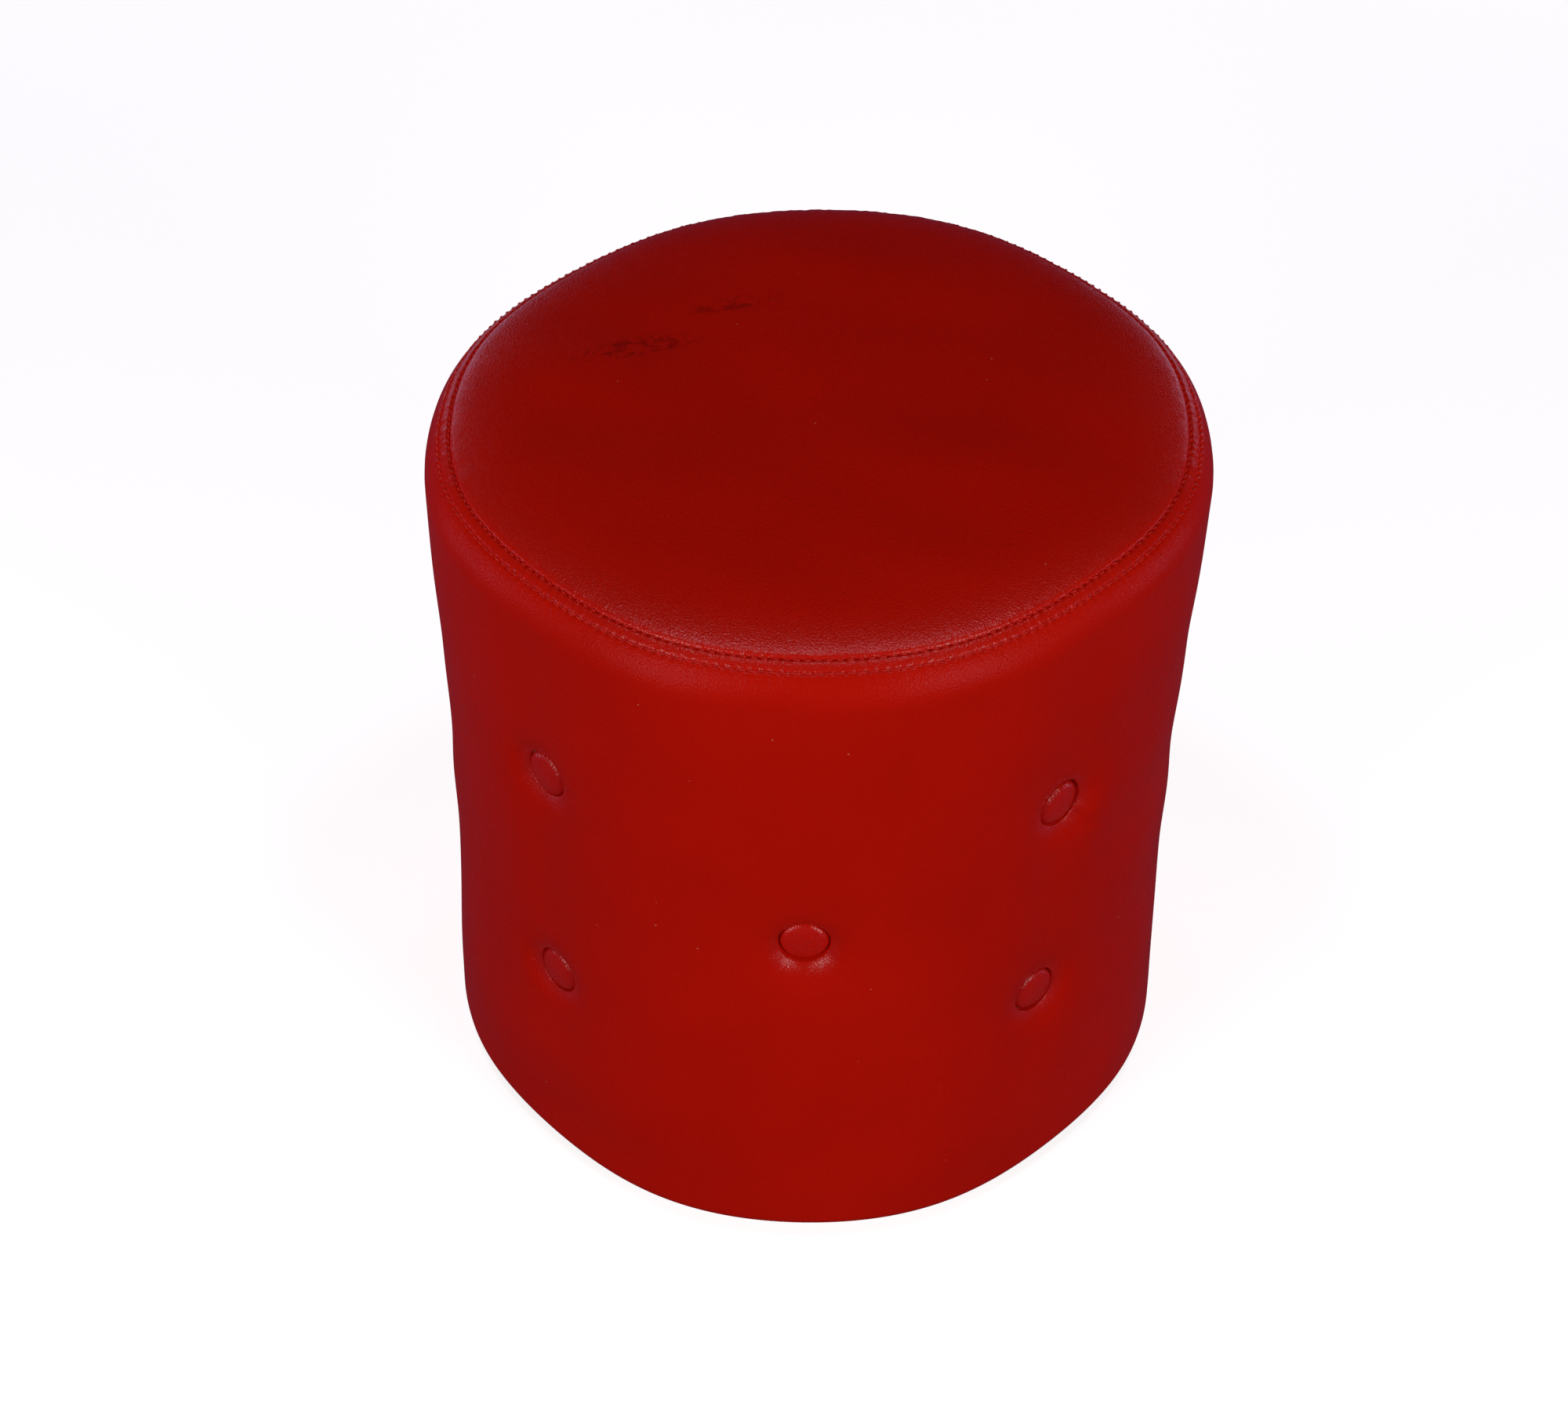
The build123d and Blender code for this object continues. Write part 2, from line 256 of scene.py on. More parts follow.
# Short creases where the cover is pulled: button, direction from it in degrees with 0 the
# way that angles grow and 90 up, start and end distance, depth and half width
creases = [
    ("upper_button_1", 12.0, 16.0, 31.0, 0.95, 2.3),
    ("upper_button_1", 34.0, 16.0, 26.0, 0.40, 2.0),
    ("upper_button_1", 160.0, 16.0, 26.0, 0.30, 1.8),
    ("upper_button_2", -48.0, 15.0, 36.0, 1.05, 2.3),
    ("upper_button_2", -28.0, 17.0, 26.0, 0.35, 1.5),
    ("upper_button_2", 150.0, 15.0, 24.0, 0.30, 1.8),
    ("lower_button_1", 35.0, 15.0, 27.0, 0.35, 1.8),
    ("lower_button_1", 120.0, 15.0, 30.0, 0.35, 2.2),
    ("lower_button_2", 60.0, 15.0, 27.0, 0.35, 1.8),
    ("lower_button_2", 140.0, 15.0, 26.0, 0.30, 1.8),
    ("middle_button_1", 200.0, 15.0, 24.0, 0.30, 1.8),
    ("middle_button_1", -30.0, 15.0, 25.0, 0.30, 1.8),
    ("upper_button_3", -30.0, 16.0, 30.0, 0.45, 1.8),
    ("upper_button_4", 215.0, 16.0, 31.0, 0.45, 1.8),
    ("middle_button_2", 80.0, 16.0, 28.0, 0.40, 1.8),
    ("middle_button_3", -70.0, 16.0, 29.0, 0.40, 1.8),
    ("middle_button_4", 60.0, 16.0, 28.0, 0.40, 1.8),
    ("lower_button_3", 100.0, 15.0, 27.0, 0.40, 1.8),
    ("lower_button_4", 75.0, 15.0, 29.0, 0.40, 1.8),
]


def offsets_from(button, angle, along):
    """Sideways and upward distance from a button over the cover, in millimetres."""
    _, centre_angle, _, centre_along = button
    turn = (angle - centre_angle + math.pi) % (2 * math.pi) - math.pi
    return turn * side_radius, centre_along - along


def button_distance(angle, along):
    """Distance over the cover from the nearest button."""
    return np.min([np.hypot(*offsets_from(button, angle, along)) for button in buttons], axis=0)


def dimple_share(distance):
    """Depth of the dimple as a share of its depth at the button's edge."""
    beyond = np.maximum(distance - dimple_lip, 0.0)
    near = np.exp(-beyond / dimple_near_width)
    return dimple_near_share * near + (1 - dimple_near_share) * bell(beyond, 0.0, dimple_far_width)


def tuck_under(distance):
    """Extra depth where the cover goes down the button's side and under it."""
    fall = dimple_lip_level - button_seat_radius + tuck_clearance
    return fall * smooth_step(-distance, -dimple_lip - 0.15, -dimple_lip + 0.9)


def tuft_depth(angle, along):
    """How far the buttons pull the cover in."""
    depth = np.zeros(np.broadcast(angle, along).shape)
    for button in buttons:
        name, centre_angle, _, centre_along = button
        side, up = offsets_from(button, angle, along)
        distance = np.hypot(side, up)
        close = distance < 4 * dimple_far_width
        base = np.interp(centre_along, outline_along, outline_radius)
        full = base * plan_factor(centre_angle) - dimple_lip_level
        pull = full * dimple_share(distance) + tuck_under(distance)
        both = np.maximum(depth, pull) + overlap_share * np.minimum(depth, pull)
        depth = np.where(close, both, depth)
        if name.startswith("middle"):
            continue
        reach = smooth_step(up, -70.0, -20.0) * (1 - smooth_step(up, 60.0, 130.0))
        gap = bell(side, 0.0, valley_width) * (1 - dimple_share(distance))
        depth = depth + valley_depth * gap * reach
    return depth


def crease_depth(angle, along):
    """Short folds that run away from the buttons."""
    depth = np.zeros(np.broadcast(angle, along).shape)
    by_name = {button[0]: button for button in buttons}
    for name, direction, start, end, size, half_width in creases:
        side, up = offsets_from(by_name[name], angle, along)
        turn = math.radians(direction)
        forward = side * math.cos(turn) + up * math.sin(turn)
        across = -side * math.sin(turn) + up * math.cos(turn)
        length = smooth_step(forward, start - 3, start + 2) * (1 - smooth_step(forward, end - 8, end))
        fold = bell(across, 0.0, half_width) - 0.6 * bell(across, 2.2 * half_width, half_width)
        depth = depth + size * fold * length
    return depth


# Where the folded edge lies under the cover: distance below the seam and lift there
ridge_along = [0.0, 0.1, 0.2, 0.35, 0.55, 0.9, 1.5, 2.4, 3.4, 4.4, 5.3, 6.0, 6.4, 6.65, 6.9, 7.15,
               7.4, 7.8, 8.6, 10.2, 13.2]
ridge_lift = [-6.0, -2.6, -1.1, -0.4, -0.05, 0.16, 0.30, 0.38, 0.40, 0.36, 0.30, 0.22, 0.16, 0.12,
              0.10, 0.11, 0.13, 0.16, 0.18, 0.14, 0.06]
ridge_end = 22.0


def stitch_wave(angle):
    """1 at a needle hole and -1 in the middle of a stitch."""
    return np.cos(stitch_count * angle)


def needle_hole(angle, sharpness):
    """1 at a needle hole and 0 in the middle of a stitch."""
    return ((1 + stitch_wave(angle)) / 2) ** sharpness


def seam_lift(angle, along):
    """Ridge, topstitch groove and puckers just below the seam."""
    lift = np.interp(along, ridge_along + [ridge_end], ridge_lift + [0.0])
    wave = stitch_wave(angle)
    at_topstitch = bell(along, topstitch_drop, 0.75)
    beside_holes = bell(np.abs(along - topstitch_drop), 1.2, 0.7)
    at_seam = bell(along, 0.4, 0.7)
    swell = bell(along, 3.4, 2.4)
    below = bell(along, 9.0, 1.8)
    wander = uneven(angle * side_radius, along * 0.0, fine_unevenness)
    pucker = uneven(angle * side_radius, along * 0.15, pucker_unevenness)
    hole = needle_hole(angle, 2)
    lift = lift - 1.4 * hole * at_topstitch - 1.0 * hole * at_seam - 0.03 * wave * swell
    lift = lift - 0.14 * wave * beside_holes
    lift = lift + 0.12 * pucker * swell + 0.15 * pucker * below
    return lift + 0.10 * wander * bell(along, 5.0, 4.0)


# Cloth trial of the side band: a coarse grid of the cover between the seam and the
# bottom corner, held at its edges and round the buttons
drape_columns = 236
drape_rows = 46
drape_top = 12.0
drape_bottom = corner_along - 6.0
drape_limit = 1.8                   # how far a point of the cover may move
drape_pin_radius = 15.0
drape_fade = 15.0                   # width over which its result fades in at the edges
drape_frames = 20
drape_smoothing = 40                # passes that take out ripples as narrow as the grid
drape_field = np.zeros((drape_rows, drape_columns))
cloth_settings = {"quality": 8, "mass": 0.02, "tension_stiffness": 8.0, "compression_stiffness": 8.0,
                  "shear_stiffness": 4.0, "bending_stiffness": 0.3, "air_damping": 4.0,
                  "use_pressure": True, "uniform_pressure_force": 4.0}


def drape_lift(angle, along):
    """How far out the cloth trial leaves the cover, between its grid points."""
    column = (angle / (2 * math.pi) * drape_columns) % drape_columns
    row = (along - drape_top) / (drape_bottom - drape_top) * (drape_rows - 1)
    row = np.clip(row, 0, drape_rows - 1.001)
    left, low = np.floor(column).astype(int), np.floor(row).astype(int)
    right = (left + 1) % drape_columns
    left = left % drape_columns
    across, down = column - np.floor(column), row - low
    upper = drape_field[low, left] * (1 - across) + drape_field[low, right] * across
    lower = drape_field[low + 1, left] * (1 - across) + drape_field[low + 1, right] * across
    return upper * (1 - down) + lower * down


def side_point(angle, along, lift=0.0):
    """Point of the side band, with everything that shapes it."""
    angle, along = np.broadcast_arrays(np.asarray(angle, float), np.asarray(along, float))
    radius = np.interp(along, outline_along, outline_radius) * plan_factor(angle)
    height = np.interp(along, outline_along, outline_height)
    out_radius = np.interp(along, outline_along, normal_radius)
    out_height = np.interp(along, outline_along, normal_height)
    size = np.hypot(out_radius, out_height)
    on_side = 1 - smooth_step(along, corner_along - 25, corner_along + 6)
    off_seam = smooth_step(along, 8.0, 30.0)
    soft = 0.45 * uneven(angle * side_radius, along, side_unevenness) * on_side * off_seam
    total = lift + soft + drape_lift(angle, along)
    total = total - (tuft_depth(angle, along) + crease_depth(angle, along)) * on_side * off_seam
    radius = radius + total * out_radius / size
    height = height + total * out_height / size
    return around(angle, radius, height)


def run_cloth(points, faces, held):
    """Cloth simulation of a surface in millimetres; returns where its points end up."""
    trial = new_object("cloth_trial", points, faces)
    group = trial.vertex_groups.new(name="held")
    group.add([int(k) for k in np.flatnonzero(held)], 1.0, "REPLACE")
    modifier = trial.modifiers.new("cloth", "CLOTH")
    for key, value in cloth_settings.items():
        setattr(modifier.settings, key, value)
    modifier.settings.vertex_group_mass = group.name
    modifier.settings.effector_weights.gravity = 0.0
    modifier.point_cache.frame_start = 1
    modifier.point_cache.frame_end = drape_frames
    scene = bpy.context.scene
    for frame_number in range(1, drape_frames + 1):
        scene.frame_set(frame_number)
    settled = trial.evaluated_get(bpy.context.evaluated_depsgraph_get())
    moved = np.empty(3 * len(settled.data.vertices))
    settled.data.vertices.foreach_get("co", moved)
    scene.frame_set(1)
    mesh = trial.data
    bpy.data.objects.remove(trial)
    bpy.data.meshes.remove(mesh)
    return moved.reshape(-1, 3) / MM


def drape_side_band():
    """Let the tufted cover settle under pressure and keep how far each point moves out."""
    columns = circle(drape_columns)
    levels = np.linspace(drape_top, drape_bottom, drape_rows)
    angle, along = np.meshgrid(columns, levels)
    start = side_point(angle, along)
    outward = side_point(angle, along, 1.0) - start
    distance = button_distance(angle, along)
    held = (along <= levels[1]) | (along >= levels[-2]) | (distance < drape_pin_radius)
    points, faces = rows_to_mesh(list(start))
    moved = run_cloth(points, faces, held.ravel()).reshape(start.shape)
    out = np.sum((moved - start) * outward, axis=-1)
    for _ in range(drape_smoothing):
        sideways = (np.roll(out, 1, axis=1) + np.roll(out, -1, axis=1)) / 2
        padded = np.concatenate([out[:1], out, out[-1:]])
        out = 0.4 * out + 0.4 * sideways + 0.1 * (padded[:-2] + padded[2:])
    out -= out.mean(axis=1, keepdims=True)
    out = drape_limit * np.tanh(out / drape_limit)
    edge = np.minimum(smooth_step(along, drape_top, drape_top + drape_fade),
                      1 - smooth_step(along, drape_bottom - drape_fade, drape_bottom))
    return out * edge * smooth_step(distance, drape_pin_radius, drape_pin_radius + 12)


# ---- Joining rows of points ----
def ring_faces(first, count, second, next_count):
    """Faces between two closed rows; the second has as many points or half as many."""
    faces = []
    if count == next_count:
        for k in range(count):
            after = (k + 1) % count
            faces.append((first + k, first + after, second + after, second + k))
        return faces
    for k in range(next_count):
        after = (k + 1) % next_count
        faces.append((first + 2 * k, first + 2 * k + 1, first + (2 * k + 2) % count,
                      second + after, second + k))
    return faces


def rows_to_mesh(rows):
    """Points and faces of a surface made of closed rows."""
    starts = np.concatenate([[0], np.cumsum([len(row) for row in rows])])
    faces = []
    for index in range(len(rows) - 1):
        faces += ring_faces(int(starts[index]), len(rows[index]), int(starts[index + 1]),
                            len(rows[index + 1]))
    return np.concatenate(rows), faces


def fan(first, count, centre):
    """Triangles that close a ring of points at its centre point."""
    return [(first + k, first + (k + 1) % count, centre) for k in range(count)]


def flipped(faces):
    """The same faces, seen from their other side."""
    return [face[::-1] for face in faces]


# ---- Side band ----
patch_radius = 18.5                 # the grid gives way to rings inside this distance
patch_rings = [17.2, 16.2, 15.3, 14.6, 14.1, 13.75, 13.5, 13.3, 13.1, 12.9, 12.6, 11.8, 8.0, 4.0]


def band_rows():
    """Angles and distances down the cover of every row of the side band."""
    fine, coarse = circle(fine_columns), circle(fine_columns // 2)
    rows = [(fine, along) for along in ridge_along]
    steps = [15.4, 17.8, 20.4, ridge_end + 1.2]
    steps += list(np.arange(ridge_end + 4.2, corner_along - 4.0, 3.0))
    steps += list(np.linspace(corner_along - 1.5, corner_along + 21.0, 14))
    steps += list(np.linspace(corner_along + 25.0, side_length, 9))
    return rows + [(coarse, along) for along in steps]


def patch_faces(faces, angles, alongs):
    """Swap the grid round each button for rings of points that follow its edge."""
    index = np.array([face + (face[-1],) * (5 - len(face)) for face in faces])
    ring_turn = circle(button_points) - math.pi
    extra = []
    kept = np.ones(len(faces), dtype=bool)
    count = len(angles)
    for button in buttons:
        side, up = offsets_from(button, angles, alongs)
        inside = np.hypot(side, up) < patch_radius
        removed = inside[index].any(axis=1)
        kept &= ~removed
        rim = np.unique(index[removed])
        rim = rim[~inside[rim]]
        direction = np.arctan2(up[rim], side[rim])
        rim = rim[np.argsort(direction)]
        direction = np.sort(direction)
        ring_start = count
        for ring in patch_rings:
            turn = button[1] + ring * np.cos(ring_turn) / side_radius
            extra.append((turn, button[3] - ring * np.sin(ring_turn)))
            count += button_points
        extra.append((np.array([button[1]]), np.array([button[3]])))
        count += 1
        faces += zipper(rim, direction, ring_start, ring_turn)
        for step in range(len(patch_rings) - 1):
            low = ring_start + step * button_points
            faces += flipped(ring_faces(low, button_points, low + button_points, button_points))
        last = ring_start + (len(patch_rings) - 1) * button_points
        faces += flipped(fan(last, button_points, count - 1))
    kept = list(np.nonzero(kept)[0]) + list(range(len(index), len(faces)))
    faces = [faces[k] for k in kept]
    angles = np.concatenate([angles] + [part[0] for part in extra])
    alongs = np.concatenate([alongs] + [part[1] for part in extra])
    return faces, angles, alongs


def zipper(outer, outer_turn, inner_start, inner_turn):
    """Triangles between an uneven outer loop and an even inner ring, both in order of turn."""
    faces = []
    outer_count, inner_count = len(outer), len(inner_turn)
    i = j = 0
    while i < outer_count or j < inner_count:
        next_outer = outer_turn[(i + 1) % outer_count] + (2 * math.pi if i + 1 >= outer_count else 0)
        next_inner = inner_turn[(j + 1) % inner_count] + (2 * math.pi if j + 1 >= inner_count else 0)
        a = int(outer[i % outer_count])
        b = inner_start + j % inner_count
        if j >= inner_count or (i < outer_count and next_outer <= next_inner):
            faces.append((a, b, int(outer[(i + 1) % outer_count])))
            i += 1
        else:
            faces.append((a, b, inner_start + (j + 1) % inner_count))
            j += 1
    return faces


def make_side_band(material):
    rows = band_rows()
    _, faces = rows_to_mesh([np.zeros((len(angles), 3)) for angles, _ in rows])
    angles = np.concatenate([angles for angles, _ in rows])
    alongs = np.concatenate([np.full(len(angles), along) for angles, along in rows])
    faces, angles, alongs = patch_faces(faces, angles, alongs)
    lift = np.where(alongs < ridge_end, seam_lift(angles, alongs), 0.0)
    band = new_object("side_band", side_point(angles, alongs, lift), flipped(faces), material)
    facing = np.clip(np.cos(angles), 0.0, 1.0) ** 2
    at_ridge = (0.05 + 0.50 * facing) * (1 - smooth_step(alongs, 4.0, 10.0))
    at_lip = 0.9 * bell(button_distance(angles, alongs), dimple_lip, 3.6)
    set_attribute(band, "stretched", np.maximum(at_ridge, at_lip))
    return band


# ---- Seat panel ----
seat_edge = [0.0, 0.1, 0.2, 0.35, 0.6, 1.0, 1.6, 2.4, 3.4, 4.6, 6.0, 7.6, 9.4]
seat_edge_lift = [-6.0, -2.9, -1.4, -0.6, -0.15, 0.1, 0.2, 0.25, 0.25, 0.22, 0.2, 0.15, 0.1]


def seat_point(angle, inwards, lift=0.0):
    """Point of the seat panel at a distance in from the seam, measured level."""
    angle, inwards = np.broadcast_arrays(np.asarray(angle, float), np.asarray(inwards, float))
    share = (seam_radius - inwards) / seam_radius
    rise = crown_height - seam_height
    height = seam_height + rise * np.clip(1 - share ** seat_roundness, 0, 1) ** seat_fullness
    radius = (seam_radius - inwards) * plan_factor(angle)
    x, y = radius * np.sin(angle), -radius * np.cos(angle)
    soft = 0.55 * uneven(x, y, seat_unevenness) * smooth_step(inwards, 6.0, 60.0)
    return around(angle, radius, height + lift + soft)


def make_seat_panel(material):
    rows = [(circle(fine_columns), inwards) for inwards in seat_edge]
    for count, start, stop, step in ((2, 11.4, 60.0, 3.0), (4, 62.0, 118.0, 5.0),
                                     (8, 122.0, 165.0, 7.0), (16, 170.0, 179.0, 4.0)):
        rows += [(circle(fine_columns // count), inwards) for inwards in np.arange(start, stop, step)]
    points = []
    for angles, inwards in rows:
        lift = np.interp(inwards, seat_edge + [16.0], seat_edge_lift + [0.0])
        lift = lift - 0.5 * needle_hole(angles, 3) * bell(inwards, 0.4, 0.6)
        pucker = uneven(angles * side_radius, inwards * 0.15, pucker_unevenness)
        wander = uneven(angles * side_radius, 0.0, fine_unevenness)
        lift = lift + 0.07 * pucker * bell(inwards, 1.2, 1.4) + 0.10 * wander * bell(inwards, 0.0, 6.0)
        points.append(seat_point(angles, inwards, lift))
    points, faces = rows_to_mesh(points)
    rim = len(rows[-1][0])
    faces += fan(len(points) - rim, rim, len(points))
    points = np.concatenate([points, seat_point(np.zeros(1), np.full(1, seam_radius))])
    panel = new_object("seat_panel", points, faces, material)
    inset = np.concatenate([np.full(len(a), i) for a, i in rows] + [np.full(1, seam_radius)])
    turns = np.concatenate([a for a, _ in rows] + [np.zeros(1)])
    facing = 0.25 + 0.75 * np.clip(np.cos(turns), 0.0, 1.0)
    at_edge = smooth_step(inset, -1.5, 3.0) * bell(inset, 0.0, 15.0)
    set_attribute(panel, "stretched", facing * at_edge)
    return panel


# ---- Stitch rows ----
def tubes(paths, outs, radius, sides=6):
    """Round threads along many short paths; outs points away from the cover."""
    along = np.gradient(paths, axis=1)
    along /= np.linalg.norm(along, axis=2, keepdims=True)
    across = np.cross(along, outs)
    across /= np.linalg.norm(across, axis=2, keepdims=True)
    up = np.cross(across, along)
    count, steps, _ = paths.shape
    taper = np.sin(np.linspace(0.25, math.pi - 0.25, steps)) ** 0.35 * radius
    points = []
    for side in range(sides):
        turn = 2 * math.pi * side / sides
        points.append(paths + taper[None, :, None] * (math.cos(turn) * up + math.sin(turn) * across))
    points = np.stack(points, axis=2)
    faces = []
    for thread in range(count):
        for step in range(steps - 1):
            low = (thread * steps + step) * sides
            faces += [(low + k, low + (k + 1) % sides, low + sides + (k + 1) % sides, low + sides + k)
                      for k in range(sides)]
        low = thread * steps * sides
        faces.append(tuple(low + k for k in range(sides))[::-1])
        low += (steps - 1) * sides
        faces.append(tuple(low + k for k in range(sides)))
    return points.reshape(-1, 3), faces


def stitch_row(name, along, height, slant, material, seed):
    """One row of stitches on the side band, each dipping into the cover at its ends."""
    rng = np.random.default_rng(seed)
    pitch = 2 * math.pi / stitch_count
    middle = (np.arange(stitch_count) + 0.5) * pitch
    t = np.linspace(-0.5, 0.5, 7)
    angles = middle[:, None] + t[None, :] * pitch * stitch_share
    lean_by = slant + rng.normal(0, 0.12, stitch_count)
    alongs = along + rng.normal(0, 0.06, stitch_count)[:, None] + lean_by[:, None] * t[None, :]
    arch = height * (1 - (2 * t) ** 2) - 0.5 * np.abs(2 * t) ** 3
    lifts = arch[None, :] + seam_lift(angles, alongs) + rng.normal(0, 0.04, stitch_count)[:, None]
    paths = side_point(angles, alongs, lifts)
    outs = side_point(angles, alongs, lifts + 1.0) - paths
    return new_object(name, *tubes(paths, outs, thread_radius), material)


# ---- Covered buttons ----
button_profile = [(0.0, 7.0), (2.5, 6.93), (5.0, 6.7), (7.2, 6.35), (9.0, 5.9), (10.3, 5.4),
                  (11.2, 4.8), (11.85, 4.0), (12.2, 3.1), (12.3, 2.2), (12.1, 1.2), (11.4, 0.45),
                  (10.2, 0.1), (6.0, 0.05)]


def make_button(button, seed, material):
    """Leatherette-covered button with its own small faults."""
    name, angle, height, _ = button
    rng = np.random.default_rng(seed)
    turns = circle(cap_points)
    phases = rng.uniform(0, 2 * math.pi, 4)
    rows = []
    for radius, level in button_profile[1:]:
        wobble = 1 + 0.006 * np.sin(2 * turns + phases[0]) + 0.004 * np.sin(3 * turns + phases[1])
        gather = 0.06 * np.sin(14 * turns + phases[2]) * smooth_step(-level, -4.0, -0.5)
        dome = level + 0.10 * radius / 12 * np.sin(turns + phases[3]) + gather
        edge = radius * wobble
        rows.append(np.stack([edge * np.cos(turns), edge * np.sin(turns), dome], axis=-1))
    points, faces = rows_to_mesh(rows)
    faces = flipped(faces) + fan(0, cap_points, len(points))
    points = np.concatenate([points, [[0.0, 0.0, button_profile[0][1]]]])
    tip = rng.normal(0, 0.02, 2)
    points[:, 2] += points[:, 0] * tip[0] + points[:, 1] * tip[1]
    out = np.array([math.sin(angle), -math.cos(angle), 0.0])
    side = np.array([math.cos(angle), math.sin(angle), 0.0])
    placed = (points[:, :1] * side + points[:, 1:2] * np.array([0.0, 0.0, 1.0])
              + (points[:, 2:] + button_seat_radius) * out + np.array([0.0, 0.0, height]))
    cap = new_object("covered_" + name, placed, faces, material)
    set_attribute(cap, "stretched", np.full(len(points), 0.7))
    return cap


# ---- Foam and dust cover ----
foam_gap = 2.2                      # between the outside of the cover and the foam
foam_points = 192
board_gap = 0.3


def make_side_foam(material):
    """Foam wrap between the wall tube and the side band."""
    turns = circle(foam_points)
    top = seat_board_top - board_gap
    bottom = base_bottom + 0.4
    outer = [side_point(turns, along, -foam_gap)
             for along in np.linspace(along_at_height(top), corner_along + 14, 110)]
    outer = [np.column_stack([row[:, :2], np.clip(row[:, 2], bottom, top)]) for row in outer]
    inner = [level_ring(turns, wall_radius + board_gap, z) for z in np.linspace(bottom, top, 12)]
    points, faces = rows_to_mesh(outer + inner + [outer[0]])
    return new_object("side_foam_wrap", points, flipped(faces), material)


def make_seat_foam(material):
    """Crowned foam pad under the seat panel."""
    turns = circle(foam_points)
    low = seat_board_top + board_gap
    edge_along = along_at_height(low + 1.0)
    rows = [level_ring(turns, radius, low) for radius in (20.0, 90.0, 150.0)]
    rows += [side_point(turns, along, -foam_gap) for along in np.linspace(edge_along, 12.0, 14)]
    rows += [seat_point(turns, inwards, -foam_gap - 0.5) for inwards in
             (7.0, 12.0, 18.0, 26.0, 40.0, 60.0, 90.0, 120.0, 150.0, 170.0)]
    points, faces = rows_to_mesh(rows)
    faces += flipped(fan(0, foam_points, len(points)))
    faces += fan(len(points) - foam_points, foam_points, len(points) + 1)
    crown = seat_point(np.zeros(1), np.full(1, seam_radius), -foam_gap)
    points = np.concatenate([points, [[0.0, 0.0, low]], crown])
    return new_object("seat_foam_pad", points, faces, material)


def make_dust_cloth(material):
    """Thin cloth under the base, puckered a little at its staples."""
    edge = dust_high[0]
    staples = 16
    turns = circle(foam_points)
    rows = []
    for radius in list(np.linspace(8.0, edge - 14.0, 26)) + list(np.linspace(edge - 11, edge, 8)):
        drape = 0.12 * uneven(radius * np.sin(turns), radius * np.cos(turns), seat_unevenness)
        near = bell(radius, edge - 5, 6.0)
        pucker = 0.12 * near * np.cos(staples * (turns - math.radians(11.25)))
        scallop = 1 + 0.004 * near * np.cos(staples * turns)
        height = np.clip(dust_low[2] + 0.28 + drape + pucker, dust_low[2] + 0.06, dust_high[2] - 0.02)
        rows.append(level_ring(turns, radius * scallop, height))
    points, faces = rows_to_mesh(rows)
    faces += flipped(fan(0, foam_points, len(points)))
    points = np.concatenate([points, [[0.0, 0.0, dust_low[2] + 0.3]]])
    return new_object("dust_cloth", points, faces, material)


# ---- Materials ----
def new_material(name):
    """Empty material with its node tree, its shader and the piece's own coordinates."""
    material = bpy.data.materials.new(name)
    material.use_nodes = True
    tree = material.node_tree
    place = tree.nodes.new("ShaderNodeTexCoord").outputs["Object"]
    return material, tree, tree.nodes["Principled BSDF"], place


def set_inputs(node, **values):
    for key, value in values.items():
        node.inputs[key.replace("_", " ")].default_value = value


def feed(tree, source, socket):
    """Link an output to an input, or set the input to a plain value."""
    if isinstance(source, bpy.types.NodeSocket):
        tree.links.new(source, socket)
    else:
        socket.default_value = source


def add(tree, kind, **values):
    """Add a node; keys are input names, with operation and the like set as properties."""
    node = tree.nodes.new(kind)
    for key, value in values.items():
        if hasattr(node, key):
            setattr(node, key, value)
        else:
            set_inputs(node, **{key: value})
    return node


def pattern(tree, place, kind, **values):
    """Procedural texture or mapping that reads a place."""
    node = add(tree, kind, **values)
    tree.links.new(place, node.inputs["Vector"])
    return node


def map_range(tree, source, start, end, low, high):
    node = add(tree, "ShaderNodeMapRange", From_Min=start, From_Max=end, To_Min=low, To_Max=high)
    tree.links.new(source, node.inputs["Value"])
    return node.outputs["Result"]


def product(tree, first, second, clamp=False):
    node = add(tree, "ShaderNodeMath", operation="MULTIPLY", use_clamp=clamp)
    tree.links.new(first, node.inputs[0])
    feed(tree, second, node.inputs[1])
    return node.outputs["Value"]


def mixed(tree, share, first, second, blend="MIX"):
    """Colour that goes from the first to the second as the share grows."""
    node = add(tree, "ShaderNodeMix", data_type="RGBA", blend_type=blend)
    feed(tree, share, node.inputs["Factor"])
    feed(tree, first, node.inputs["A"])
    feed(tree, second, node.inputs["B"])
    return node.outputs["Result"]


def colour_ramp(tree, source, stops):
    ramp = tree.nodes.new("ShaderNodeValToRGB")
    elements = ramp.color_ramp.elements
    while len(elements) < len(stops):
        elements.new(0.5)
    for element, (place, colour) in zip(elements, stops):
        element.position = place
        element.color = (*colour, 1.0)
    tree.links.new(source, ramp.inputs["Fac"])
    return ramp.outputs["Color"]


def bump(tree, height, strength, distance, under=None):
    node = add(tree, "ShaderNodeBump", Strength=strength, Distance=distance)
    tree.links.new(height, node.inputs["Height"])
    if under is not None:
        tree.links.new(under, node.inputs["Normal"])
    return node.outputs["Normal"]


def paint(tree, shader, colour, normal, **plain):
    """Join colour and bump to the shader and set its plain inputs."""
    tree.links.new(colour, shader.inputs["Base Color"])
    tree.links.new(normal, shader.inputs["Normal"])
    set_inputs(shader, **plain)


black, white = (0.0, 0.0, 0.0), (1.0, 1.0, 1.0)

